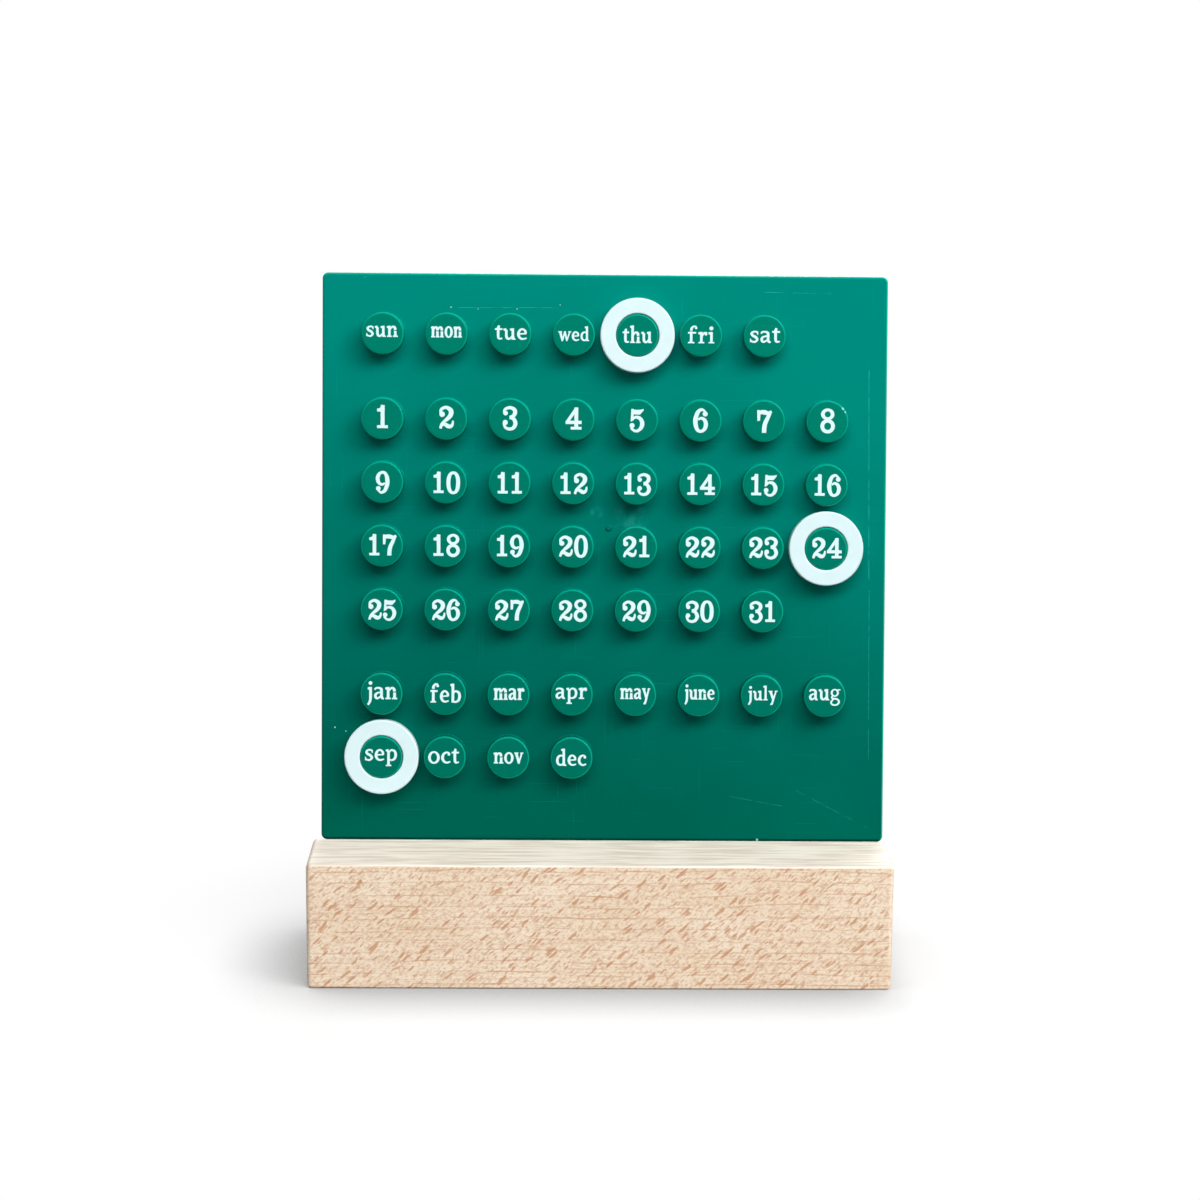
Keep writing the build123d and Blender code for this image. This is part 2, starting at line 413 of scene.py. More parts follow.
# Digits, in tenths of a millimetre: the space on their left, their width with the space on their
# right, where their own x runs from, and their parts. Turned round, a six becomes a nine, and its
# lower left corner goes to the corner given here, in millimetres.
TENTHS = 10
NINE_CORNER = (3.54, 5.26)
DIGITS = {
    "0": (1.5, 36.4, 17.6, [hoop(0, 26.3, 17.4, 29.0, 10.2, 7.2, 0.88)]),
    "1": (4.8, 31.0, 13.3, [
        bar(-4.6, 0, 4.6, 54),
        patch((-13, 46), (-8, 46.5), (-4.5, 50), (-3, 54.7), (0, 54.7), (0, 38), (-13, 39)),
        bar(-13.0, 0, 12.5, 6.8),
    ]),
    "2": (2.5, 37.0, 17.0, [
        stroke((-13, 37, 6), (-11.5, 45, 7), (-1, 50, 7.5), (9.5, 44.5, 10.5), (11.7, 36.5, 11),
               (7.5, 27.5, 10), (-3, 18, 7.5), (-10.5, 10, 6.5), (-13.5, 0, 6)),
        ball(-9.6, 33.8, 6.5),
        stroke((-13, 3, 4.5), (-8, 9, 5.5), (-2, 9.5, 8.5), (5, 5.5, 10), (11, 5.5, 8.5), (15, 11, 6),
               (16, 19, 4)),
    ]),
    "3": (2.5, 36.0, 14.7, [
        stroke((-11.5, 38, 5.5), (-10, 46, 6.5), (1, 50.5, 7.5), (11.5, 46.5, 9), (14, 39, 9.5),
               (10, 31, 8.5), (1, 27.8, 7)),
        stroke((1, 27.2, 7), (10, 24.5, 8.5), (15, 14, 9.5), (11, 4, 8.5), (2, 0, 7.5), (-8, 3, 6.5),
               (-12, 12, 6), (-11.5, 17, 5.5)),
        ball(-8.5, 37.5, 5.5), ball(-9, 15.5, 6),
    ]),
    "4": (1.2, 39.2, 19.7, [
        bar(1.0, 0, 10.0, 52), bar(-19.7, 13, 18, 20.8), bar(-7.7, 0, 18, 6.5),
        patch((-19.7, 12.5), (-19.7, 18.5), (3, 52), (8, 52), (8, 46), (-12, 17)),
    ]),
    "5": (1.2, 37.2, 16.0, [
        patch((-12, 52), (-6.5, 52), (-6.5, 25), (-13.5, 22)),
        patch((-12, 52), (-2, 50), (8, 50), (17.5, 52), (16.5, 48), (8.5, 38.5), (-9, 39.5)),
        stroke((-9.5, 27, 4), (-2, 32.5, 6.5), (8, 30, 8.5), (13.6, 20, 10), (12, 9, 9), (4, 0.9, 7),
               (-5, 0.9, 6), (-12.5, 8, 6)),
        ball(-10, 12.8, 6),
    ]),
    "6": (1.2, 36.7, 17.7, [
        stroke((11, 46.5, 4.5), (3, 52, 6.5), (-6, 47, 9), (-11.8, 32, 10.5), (-12.2, 18, 10.5),
               (-8, 5, 8.5), (0, 0.7, 7), (8.8, 6, 8.5), (12.2, 17, 10), (9, 27.5, 8.5), (1, 31.8, 6.5),
               (-6, 28, 4.5)),
        ball(10.4, 41.8, 6),
    ]),
    "7": (3.5, 37.0, 15.0, [
        stroke((16.5, 50.5, 6.5), (12, 39.5, 8.5), (4.5, 23.5, 10), (2, 11.5, 10.5), (1.7, 0, 10.5)),
        stroke((-11.5, 46.5, 9), (-4, 48.5, 10), (4, 48, 10.5), (11, 46, 8.5), (19, 50.5, 5.5)),
        patch((-15, 53.5), (-9.5, 53.5), (-7.5, 39.5), (-8.5, 28.5), (-14.5, 28)),
    ]),
    "8": (1.5, 36.5, 17.5, [hoop(0, 42.2, 15.8, 13.9, 8.6, 6.8), hoop(0, 14, 17.2, 17.0, 9.0, 8.2)]),
}


def draw_letter(parts, squeeze=1.0):
    """Shapes of all the parts of a letter or digit."""
    return [shape for part in parts for shape in part(squeeze)]


def set_word(word, squeeze):
    """Shapes of a word's letters, with its left and right ends."""
    shapes, pen = [], 0.0
    for letter in word:
        width, parts = LETTERS[letter]
        shapes += [[(x + pen, y) for x, y in shape] for shape in draw_letter(parts, squeeze)]
        pen += (width + LETTER_GAP) * squeeze
    across = [x for shape in shapes for x, _ in shape]
    return shapes, min(across), max(across)


def fit_word(word, width, x_height, baseline, middle):
    """Shapes of a word at its size on the peg, in millimetres from the peg's centre."""
    size = x_height / X_HEIGHT
    squeeze = 1.0
    for _ in range(4):  # stems keep their width, so the squeeze is found step by step
        shapes, left, right = set_word(word, squeeze)
        squeeze *= width / size / (right - left)
    centre = (left + right) / 2
    return [[((x - centre) * size + middle, y * size + baseline) for x, y in shape] for shape in shapes]


def digit_shapes(digit):
    """Shapes of one digit in millimetres. A nine is a six turned round."""
    if digit == "9":
        right, top = NINE_CORNER
        return [[(right - x, top - y) for x, y in shape] for shape in digit_shapes("6")]
    _, _, origin, parts = DIGITS[digit]
    return [[((x + origin) / TENTHS, y / TENTHS) for x, y in shape] for shape in draw_letter(parts)]


def set_number(number):
    """Each digit of a number with where it starts, and the number's whole width, in millimetres."""
    pen, places = 0.0, []
    for digit in str(number):
        before, advance, _, _ = DIGITS["6" if digit == "9" else digit]
        places.append((int(digit), (pen + before) / TENTHS))
        pen += before + advance
    return places, pen / TENTHS


def peg(column, height):
    """Centre of a peg on the panel's face, in millimetres."""
    return Vector(((column - (COLUMNS - 1) / 2) * PEG_PITCH, height))


# Meshes

SLIVER = 1e-9  # a shape under this area is left out
WELD = 1e-5  # points of a film that are nearer than this become one
WITHIN_LOOPS = 1  # makes the triangulation keep only what its loops hold


def covers(shape, x, y):
    """Whether a shape lies over a point."""
    inside = False
    for (x0, y0), (x1, y1) in zip(shape, shape[1:] + shape[:1]):
        if (y0 > y) != (y1 > y) and x < x0 + (y - y0) * (x1 - x0) / (y1 - y0):
            inside = not inside
    return inside


def film(shapes, sink, rise):
    """Points and faces of a thin closed film, whose outline is that of all the shapes together."""
    points, loops, extents = [], [], []
    for shape in shapes:
        area = sum(a[0] * b[1] - b[0] * a[1] for a, b in zip(shape, shape[1:] + shape[:1]))
        if abs(area) < SLIVER:
            continue
        loops.append(list(range(len(points), len(points) + len(shape))))
        points += [Vector(point) for point in (shape if area > 0 else reversed(shape))]
        across, up = zip(*shape)
        extents.append((shape, min(across), max(across), min(up), max(up)))
    flat, _, faces, *_ = delaunay_2d_cdt(points, [], loops, WITHIN_LOOPS, WELD)

    def inked(face):
        """Whether the middle of a face lies on a shape. In a letter's counter it doesn't."""
        x, y = (sum(flat[corner][axis] for corner in face) / len(face) for axis in range(2))
        return any(
            left <= x <= right and low <= y <= high and covers(shape, x, y)
            for shape, left, right, low, high in extents
        )

    tops = [face for face in faces if inked(face)]
    count = len(flat)
    corners = [(*p, rise) for p in flat] + [(*p, -sink) for p in flat]
    edges = {(a, b) for face in tops for a, b in zip(face, face[1:] + face[:1])}
    walls = [(a + count, b + count, b, a) for a, b in edges if (b, a) not in edges]
    undersides = [[corner + count for corner in reversed(face)] for face in tops]
    return corners, [*tops, *undersides, *walls]


def plain_mesh(name, corners, faces):
    """A new object of these points, in metres, and faces, without the points that no face uses."""
    used = sorted({corner for face in faces for corner in face})
    order = {corner: i for i, corner in enumerate(used)}
    mesh = bpy.data.meshes.new(name)
    mesh.from_pydata([corners[i] for i in used], [], [[order[i] for i in face] for face in faces])
    mesh.update()
    piece = bpy.data.objects.new(name, mesh)
    bpy.context.scene.collection.objects.link(piece)
    return piece


def face_matrix(height=0.0):
    """Places millimetres on the panel's face, at a height over it, in the frame's metres."""
    turn = Matrix.Rotation(math.pi / 2 - LEAN, 4, "X")
    return Matrix.Translation(FACE_ORIGIN) @ turn @ Matrix.Scale(MM, 4) @ Matrix.Translation((0, 0, height))


# Materials


class Level:
    """A number or vector that varies over a surface, so that the maths on it is plain to read."""

    def __init__(self, finish, socket):
        self.finish, self.socket = finish, socket

    def maths(self, operation, *values):
        return self.finish.add("ShaderNodeMath", {"operation": operation}, dict(enumerate(values)))

    def __add__(self, other):
        return self.maths("ADD", self, other)

    __radd__ = __add__

    def __mul__(self, other):
        return self.maths("MULTIPLY", self, other)

    __rmul__ = __mul__

    def __sub__(self, other):
        return self.maths("SUBTRACT", self, other)

    def __rsub__(self, other):
        return self.maths("SUBTRACT", other, self)

    def __truediv__(self, other):
        return self.maths("DIVIDE", self, other)

    def __pow__(self, other):
        return self.maths("POWER", self, other)

    def __abs__(self):
        return self.maths("ABSOLUTE", self)

    def rise(self, low, high):
        """From 0 at low to 1 at high, without corners. High may be the lower of the two."""
        if low > high:
            return 1 - self.rise(high, low)
        sockets = {"Value": self, "From Min": low, "From Max": high}
        return self.finish.add("ShaderNodeMapRange", {"interpolation_type": "SMOOTHSTEP"}, sockets)

    def most(self, other):
        """The higher of the two at each point."""
        return self.maths("MAXIMUM", self, other)

    def fraction(self):
        """What is over the whole number below it, so that a steady rise becomes even bands."""
        return self.maths("FRACT", self)


class Finish:
    """One procedural material, built node by node."""

    def __init__(self, name, tree=None):
        if tree is None:
            self.material = bpy.data.materials.new(name)
            self.material.use_nodes = True
            tree = self.material.node_tree
        self.tree = tree
        tree.nodes.clear()

    def add(self, kind, settings=(), sockets=(), output=0):
        """A node with its settings and its sockets' values or links. Gives one of its outputs."""
        node = self.tree.nodes.new(kind)
        for name, value in dict(settings).items():
            setattr(node, name, value)
        for name, value in dict(sockets).items():
            socket = node.inputs[name]
            if isinstance(value, Level):
                self.tree.links.new(value.socket, socket)
            else:
                socket.default_value = (*value, 1) if socket.type == "RGBA" and len(value) == 3 else value
        return Level(self, node.outputs[output]) if len(node.outputs) else None

    def spot(self):
        """Object coordinates."""
        return self.add("ShaderNodeTexCoord", output="Object")

    def split(self, vector):
        """X, Y and Z in millimetres."""
        return [self.add("ShaderNodeSeparateXYZ", (), {0: vector}, axis) * 1000 for axis in range(3)]

    def noise(self, x, y, z, detail=2.0, roughness=0.5):
        """Smooth noise round 0.5, whose waves are about one unit of the given coordinates long."""
        place = self.add("ShaderNodeCombineXYZ", (), {0: x, 1: y, 2: z})
        sockets = {"Vector": place, "Scale": 1, "Detail": detail, "Roughness": roughness}
        return self.add("ShaderNodeTexNoise", (), sockets)

    def cells(self, x, y, z, output="Distance"):
        """Scattered cells: the distance from the nearest one's middle, or another output of theirs."""
        place = self.add("ShaderNodeCombineXYZ", (), {0: x, 1: y, 2: z})
        return self.add("ShaderNodeTexVoronoi", (), {"Vector": place, "Scale": 1}, output)

    def blend(self, amount, base, top, kind="MIX"):
        """Base colour where amount is 0, top colour where it is 1."""
        settings = {"data_type": "RGBA", "blend_type": kind}
        return self.add("ShaderNodeMix", settings, {0: amount, 6: base, 7: top}, 2)

    def bump(self, height, strength, depth):
        """A normal from a height that varies over the surface. Depth is in metres."""
        return self.add("ShaderNodeBump", (), {"Height": height, "Strength": strength, "Distance": depth})

    def finish(self, **sockets):
        """Ends the tree in a shader with these sockets, whose names are written with underscores."""
        values = {name.replace("_", " "): value for name, value in sockets.items()}
        shader = self.add("ShaderNodeBsdfPrincipled", (), values)
        self.add("ShaderNodeOutputMaterial", (), {"Surface": shader})
        return self.material


def strongest(levels):
    """The highest of several levels at each point."""
    return functools.reduce(Level.most, levels)


def streak(u, v, start, end, width):
    """A hair scratch between two points of the panel's face, 1 in its middle."""
    (u0, v0), (u1, v1) = start, end
    length = math.hypot(u1 - u0, v1 - v0)
    du, dv = (u1 - u0) / length, (v1 - v0) / length
    along = (u - u0) * du + (v - v0) * dv
    off = abs((u - u0) * dv - (v - v0) * du)
    return off.rise(width, 0) * along.rise(-0.3, 0.5) * along.rise(length + 0.3, length - 0.5)


def dot(u, v, centre, radius):
    """A soft round mark on the panel's face, 1 in its middle."""
    du, dv = u - centre[0], v - centre[1]
    return (du * du + dv * dv).rise(radius**2, (radius * 0.4) ** 2)


def panel_finish(colour):
    """Glossy green moulding with the marks of use, and with painted sheen, highlights and shade."""
    f = Finish("panel_plastic")
    place = f.add("ShaderNodeMapping", {"vector_type": "TEXTURE"}, {
        "Vector": f.spot(), "Location": FACE_ORIGIN, "Rotation": (math.pi / 2 - LEAN, 0, 0),
    })
    u, v, w = f.split(place)
    flow = f.noise(u * 0.03, v * 0.03, w * 0.03)
    patchy = f.noise(u * 0.35, v * 0.35, w * 0.35, 3)

    # Marks of use. Those on the flat stop at its front, and the chips lie on a peg's rim.
    front = w.rise(-1.2, -0.8)
    flat = w.rise(0.5, 0.2)
    rim = w.rise(PEG_HEIGHT - 0.5, PEG_HEIGHT - 0.2)
    level_hairs = f.noise(u * 0.05, v * 3.5, w).rise(0.66, 0.74)
    upright_hairs = f.noise(u * 3.5, v * 0.05, w + 7).rise(0.68, 0.76)
    hairs = level_hairs.most(upright_hairs)
    scratches = strongest(streak(u, v, *mark) for mark in SCRATCHES)
    scratches = scratches * patchy.rise(0.35, 0.6) * front
    specks = strongest(dot(u, v, *mark) for mark in SPECKS) * front * flat
    specks = specks.most(strongest(dot(u, v, *mark) for mark in PEG_CHIPS) * rim)
    smudge = sum(dot(u, v, *mark) * 0.5 for mark in SMUDGES)
    smudge = smudge * patchy.rise(0.4, 0.7) * front

    # Colour. A painted sheen pales it towards the panel's top and right, more gently on the pegs' faces than
    # on the flat, with some random tone. Painted highlights lie on the rounding of the pegs' rims and of the
    # panel's right and upper edges.
    painted_sheen_and_tone = v * 0.0075 + u * 0.0014 + u * u * v * 3.3e-7 + (flow - 0.5) * 0.3
    raised = w.rise(PEG_HEIGHT - 0.6, PEG_HEIGHT - 0.4)
    # Painted highlights on the rounding of the panel's right and upper edges and of the pegs' rims.
    edge = w.rise(-0.02, -0.10) * u.rise(*RIGHT_EDGE).most(v.rise(*UPPER_EDGE))
    highlight = raised * w.rise(PEG_HEIGHT - 0.01, PEG_HEIGHT - 0.06) * 0.7 + edge
    red, green, blue = colour
    flat_shade = f.blend(painted_sheen_and_tone, (red, green * 0.62, blue * 0.60), (red, green * 1.62, blue * 1.92))
    peg_shade = f.blend(painted_sheen_and_tone, [c * 0.96 for c in colour], [c * 1.30 for c in colour])
    shade = f.blend(raised, flat_shade, peg_shade)
    shade = f.blend(highlight, shade, [c * 2.9 for c in colour])
    # Painted shade: a dark line along the panel's foot, where it meets the block.
    shade = f.blend(v.rise(*PAINTED_FOOT_SHADE) * 0.85, shade, [c * 0.12 for c in colour])
    shade = f.blend(hairs * 0.05 + scratches * 0.30 + smudge * 0.22, shade, (0.06, 0.70, 0.64))
    shade = f.blend(specks * 0.6, shade, (0.45, 0.85, 0.80))

    # Gloss. The rims and the roots of the pegs are smoother, and marks are duller.
    lip = abs(w - (PEG_HEIGHT - 0.25)).rise(0.25, 0.2).most(abs(w - 0.15).rise(0.25, 0.15))
    gloss = patchy * 0.10 + 0.30 - lip * 0.14 - edge * 0.1 + hairs * 0.10 + scratches * 0.2 + smudge * 0.15
    relief = flow * 0.6 + patchy * 0.05 - hairs * 0.01 - scratches * 0.05
    return f.finish(
        Base_Color=shade, Roughness=gloss, Normal=f.bump(relief, 0.3, 0.0005),
        Specular_Tint=(0.0, 1.0, 0.97, 1), Specular_IOR_Level=0.25, IOR=1.46,
    )


def ring_finish(colour):
    """Cool white moulding, a little duller where fingers hold it."""
    f = Finish("ring_plastic")
    x, y, z = f.split(f.spot())
    cloud = f.noise(x * 0.25, y * 0.25, z * 0.25, 3)
    grain = f.noise(x * 2.5, y * 2.5, z * 2.5, 2)
    shade = f.blend(cloud.rise(0.3, 0.7), [c * 0.97 for c in colour], colour)
    shade = f.blend(grain.rise(0.62, 0.72) * 0.12, shade, (0.55, 0.62, 0.60))
    return f.finish(
        Base_Color=shade, Roughness=cloud * 0.15 + 0.30, Normal=f.bump(cloud + grain * 0.1, 0.15, 0.0003),
        IOR=1.46,
    )


def ink_finish(colour):
    """Printed white ink, not quite even."""
    f = Finish("label_ink")
    x, y, z = f.split(f.spot())
    mottle = f.noise(x * 2.2, y * 2.2, z * 2.2, 3)
    shade = f.blend(mottle.rise(0.42, 0.30) * 0.22, colour, [c * 0.72 for c in colour])
    return f.finish(Base_Color=shade, Roughness=mottle * 0.2 + 0.42, IOR=1.46)


def beech_finish(pale, fleck):
    """Beech with its grain along X. The front shows slanted ray flecks and the ends show fine lines."""
    f = Finish("beech")
    x, y, z = f.split(f.spot())
    slant_x, slant_z = math.cos(FLECK_SLANT), math.sin(FLECK_SLANT)
    sway = f.noise(x * 0.05, y * 0.05, z * 0.09) * 4
    ragged = f.noise(x * 0.9, y * 0.9, z * 0.9, 2) * 0.6
    along = x * slant_x + z * slant_z + sway
    across = z * slant_x - x * slant_z - sway * 0.6 + ragged
    grain = f.noise(along * 0.6, across * 1.8, y * 1.8, 3, 0.6)

    def flecks(length, width, share):
        """Spindles of these sizes in millimetres. Share is how much of each one's cell may hold it."""
        cell = (along / length, across / width, y / length)
        chance = f.add("ShaderNodeSeparateColor", (), {0: f.cells(*cell, "Color")})
        return (chance * share - 0.16 + grain * 0.16 - f.cells(*cell)).rise(0, 0.12)

    growth = z * 0.36 + y * 0.4 + f.noise(x * 0.02, y * 0.07, z * 0.07, 4) * 1.6
    broken = f.noise(x * 0.14, y * 0.5, z * 0.6, 3).rise(0.36, 0.60)
    lines = abs(growth.fraction() - 0.5).rise(0.09, 0.01) * broken
    hair = f.noise(x * 0.05, y * 0.6, z * 2.4, 2, 0.6)
    pores = f.noise(x * 1.1, y * 1.7, z * 1.9, 2, 0.6)
    cloud = f.noise(x * 0.035, y * 0.09, z * 0.09, 4)

    # The faces of the block. On its top, a point's level is what it would be without the fall.
    level = z + (y - LEDGE_END).most(0) * math.tan(BLOCK_FALL)
    top = level.rise(BLOCK_HEIGHT - 0.55, BLOCK_HEIGHT - 0.20)
    ends = abs(x).rise(BLOCK_HALF - 1.1, BLOCK_HALF - 0.5)
    front = (1 - top) * (1 - ends)
    marks = strongest(flecks(*sizes) * strength for *sizes, strength in FLECK_KINDS)
    shade = f.blend(cloud.rise(0.32, 0.68) * 0.9, pale, [pale[0] * 0.94, pale[1] * 0.90, pale[2] * 0.86])
    shade = f.blend(lines * 0.52 + hair.rise(0.50, 0.70) * 0.26, shade, fleck)
    shade = f.blend(grain.rise(0.48, 0.66) * 0.38 * front, shade, fleck)
    shade = f.blend(pores.rise(0.48, 0.66) * 0.40 * front, shade, fleck)
    shade = f.blend(marks * front * 0.88, shade, fleck)
    silver = f.blend(hair.rise(0.42, 0.60) * 0.6 + lines * 0.5, (0.875, 0.805, 0.715), (0.58, 0.49, 0.41))
    shade = f.blend(top * 0.9, shade, silver)
    rays = f.noise(x, y * 2.6, z * 0.22, 3).rise(0.5, 0.7) * 0.5 + pores.rise(0.5, 0.7) * 0.3
    shade = f.blend(ends * rays, shade, fleck)
    relief = pores * 0.5 + hair * 0.3 - marks * 0.12
    return f.finish(
        Base_Color=shade, Roughness=pores * 0.2 + 0.48, Normal=f.bump(relief, 0.25, 0.0002), IOR=1.45,
    )


def coat(node, material):
    """Puts a material on a carried-over solid."""
    mesh = frame["nodes"][node].data
    mesh.materials.clear()
    mesh.materials.append(material)


# Settings that a user would change


class CalendarColours(bpy.types.PropertyGroup):
    panel: FloatVectorProperty(
        name="Panel", description="Colour of the moulded panel", subtype="COLOR", min=0, max=1,
        default=(0.0, 0.130, 0.085),
    )
    rings: FloatVectorProperty(
        name="Rings", description="Colour of the marker rings", subtype="COLOR", min=0, max=1,
        default=(0.655, 0.825, 0.85),
    )
    ink: FloatVectorProperty(
        name="Ink", description="Colour of the printed labels", subtype="COLOR", min=0, max=1,
        default=(0.64, 0.86, 0.88),
    )
    beech: FloatVectorProperty(
        name="Beech", description="Pale colour of the wood", subtype="COLOR", min=0, max=1,
        default=(0.975, 0.835, 0.655),
    )
    fleck: FloatVectorProperty(
        name="Fleck", description="Reddish colour of the wood's ray flecks", subtype="COLOR", min=0, max=1,
        default=(0.60, 0.287, 0.142),
    )
    floor: FloatVectorProperty(
        name="Floor", description="Light that the floor gives back", subtype="COLOR", min=0, max=1,
        default=(0.15, 0.15, 0.15),
    )


class CalendarSizes(bpy.types.PropertyGroup):
    ink_rise: FloatProperty(
        name="Ink rise", description="How far the ink stands over a peg's face", subtype="DISTANCE",
        unit="LENGTH", default=0.00002, min=0.000005, max=0.0001,
    )
    ink_sink: FloatProperty(
        name="Ink sink", description="How far the ink reaches into a peg's face", subtype="DISTANCE",
        unit="LENGTH", default=0.00003, min=0.0, max=0.0002,
    )
    gate_radius: FloatProperty(
        name="Gate mark", description="Radius of the moulding's gate mark", subtype="DISTANCE",
        unit="LENGTH", default=0.00072, min=0.0002, max=0.002,
    )
    number_size: FloatProperty(
        name="Number size", description="Size of the dates against their full size",
        default=1.0, min=0.5, max=1.2,
    )


# Operators


class CALENDAR_OT_block(bpy.types.Operator):
    """Finish the wooden block"""

    bl_idname = "calendar.block"
    bl_label = "Finish the block"

    def execute(self, context):
        colours = context.scene.calendar_colours
        coat("base_block", beech_finish(tuple(colours.beech), tuple(colours.fleck)))
        return {"FINISHED"}


class CALENDAR_OT_panel(bpy.types.Operator):
    """Finish the moulded panel and add its gate mark"""

    bl_idname = "calendar.panel"
    bl_label = "Finish the panel"

    def execute(self, context):
        material = panel_finish(tuple(context.scene.calendar_colours.panel))
        coat("peg_panel", material)
        mark = gate_mark(context.scene.calendar_sizes.gate_radius / MM)
        mark.data.materials.append(material)
        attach(mark, "panel")
        return {"FINISHED"}


class CALENDAR_OT_rings(bpy.types.Operator):
    """Finish the three marker rings"""

    bl_idname = "calendar.rings"
    bl_label = "Finish the rings"

    def execute(self, context):
        material = ring_finish(tuple(context.scene.calendar_colours.rings))
        for ring in RINGS:
            coat(ring, material)
        return {"FINISHED"}


class CALENDAR_OT_words(bpy.types.Operator):
    """Print the weekdays and months on their pegs"""

    bl_idname = "calendar.words"
    bl_label = "Print the words"

    def execute(self, context):
        ink = ink_material(context)
        print_words("weekday_labels", ((WEEKDAYS, WEEKDAY_ROW),), ink, context.scene.calendar_sizes)
        print_words("month_labels", zip(MONTHS, MONTH_ROWS), ink, context.scene.calendar_sizes)
        return {"FINISHED"}


class CALENDAR_OT_dates(bpy.types.Operator):
    """Print the dates on their pegs"""

    bl_idname = "calendar.dates"
    bl_label = "Print the dates"

    def execute(self, context):
        print_dates("date_labels", ink_material(context), context.scene.calendar_sizes)
        return {"FINISHED"}


class CALENDAR_OT_studio(bpy.types.Operator):
    """Set up the floor, the lights and the camera"""

    bl_idname = "calendar.studio"
    bl_label = "Set up the studio"

    def execute(self, context):
        set_floor(tuple(context.scene.calendar_colours.floor))
        set_lights()
        set_camera()
        context.scene.view_settings.view_transform = "Standard"
        return {"FINISHED"}


class CALENDAR_PT_sidebar(bpy.types.Panel):
    """Lists the calendar's settings and its pieces"""

    bl_idname = "CALENDAR_PT_sidebar"
    bl_label = "Perpetual Desk Calendar"
    bl_space_type = "VIEW_3D"
    bl_region_type = "UI"
    bl_category = "Calendar"

    def draw(self, context):
        for group in (context.scene.calendar_colours, context.scene.calendar_sizes):
            box = self.layout.box()
            for name in group.__annotations__:
                box.prop(group, name)
        for operator in OPERATORS:
            self.layout.operator(operator.bl_idname)


OPERATORS = (
    CALENDAR_OT_block, CALENDAR_OT_panel, CALENDAR_OT_rings, CALENDAR_OT_words, CALENDAR_OT_dates,
    CALENDAR_OT_studio,
)
CLASSES = (CalendarColours, CalendarSizes, *OPERATORS, CALENDAR_PT_sidebar)


# What the operators make


def gate_mark(radius):
    """The small broken-off stub that is left where the panel's moulding was filled."""
    profile = ((1.0, -0.08), (0.98, 0.10), (0.9, 0.34), (0.72, 0.48), (0.5, 0.40), (0.3, 0.44))
    steps = 24
    corners, faces = [], []
    for share, height in profile:
        for step in range(steps):
            turn = step * math.tau / steps
            wobble = 1 + 0.05 * math.sin(2 * turn + 1) + 0.04 * math.sin(5 * turn)
            reach = radius * share * wobble
            tilt = 0.05 * math.cos(turn - 0.8) if height > 0 else 0
            corners.append((reach * math.cos(turn), reach * math.sin(turn), height + tilt * share))
    for level in range(len(profile) - 1):
        for step in range(steps):
            a, b = level * steps + step, level * steps + (step + 1) % steps
            faces.append((a, b, b + steps, a + steps))
    faces.append(range(len(corners) - steps, len(corners)))
    faces.append(range(steps - 1, -1, -1))
    place = face_matrix() @ Matrix.Translation((*GATE_PLACE, 0))
    mark = plain_mesh("gate_mark", [place @ Vector(corner) for corner in corners], faces)
    mark.data.shade_smooth()
    return mark


def ink_material(context):
    """The ink, which is made once for all the labels."""
    return bpy.data.materials.get("label_ink") or ink_finish(tuple(context.scene.calendar_colours.ink))


def print_words(name, rows, ink, sizes):
    """One film of ink for all the words of these rows."""
    place = face_matrix(PEG_HEIGHT)
    corners, faces = [], []
    for words, height in rows:
        for column, word in enumerate(words):
            centre = peg(column, height)
            shapes = fit_word(word, *WORD_FIT[word])
            shapes = [[(x + centre.x, y + centre.y) for x, y in shape] for shape in shapes]
            more, loops = film(shapes, sizes.ink_sink / MM, sizes.ink_rise / MM)
            faces += [[corner + len(corners) for corner in loop] for loop in loops]
            corners += [place @ Vector(corner) for corner in more]
    labels = plain_mesh(name, corners, faces)
    labels.data.materials.append(ink)
    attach(labels, "panel")


def print_dates(name, ink, sizes):
    """The dates, set from one film for each digit."""
    box = bpy.data.collections.new("digits")
    bpy.context.scene.collection.children.link(box)
    for digit in range(10):
        corners, faces = film(digit_shapes(str(digit)), sizes.ink_sink / MM, sizes.ink_rise / MM)
        piece = plain_mesh(f"digit_{digit}", [Vector(corner) * MM for corner in corners], faces)
        bpy.context.scene.collection.objects.unlink(piece)
        box.objects.link(piece)

    place = face_matrix(PEG_HEIGHT)
    spots, digits, scales = [], [], []
    for number in range(1, 32):
        row, column = divmod(number - 1, COLUMNS)
        baseline, size, middle = DATE_FIT[row]
        baseline = DATE_BASELINES.get(number, baseline)
        line, width = set_number(number)
        centre = peg(column, DATE_ROWS[row])
        for digit, start in line:
            x = centre.x + middle + (start - width / 2) * size * sizes.number_size
            spots.append(place @ Vector((x, centre.y + baseline, 0)))
            digits.append(digit)
            scales.append(size)
    labels = plain_mesh(name, [], [])
    labels.data.from_pydata(spots, [], [])
    labels.data.attributes.new("digit", "INT", "POINT").data.foreach_set("value", digits)
    labels.data.attributes.new("size", "FLOAT", "POINT").data.foreach_set("value", scales)

    modifier = labels.modifiers.new("dates", "NODES")
    modifier.node_group = digit_tree()
    sockets = modifier.node_group.interface.items_tree
    inputs = {socket.name: socket.identifier for socket in sockets if socket.in_out == "INPUT"}
    modifier[inputs["Digits"]] = box
    modifier[inputs["Turn"]] = (math.pi / 2 - LEAN, 0.0, 0.0)
    modifier[inputs["Number size"]] = sizes.number_size
    modifier[inputs["Ink"]] = ink
    depsgraph = bpy.context.evaluated_depsgraph_get()
    mesh = bpy.data.meshes.new_from_object(labels.evaluated_get(depsgraph))
    labels.modifiers.clear()
    labels.data = mesh
    mesh.name = name
    for piece in list(box.objects):
        bpy.data.objects.remove(piece)
    bpy.data.collections.remove(box)
    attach(labels, "panel")


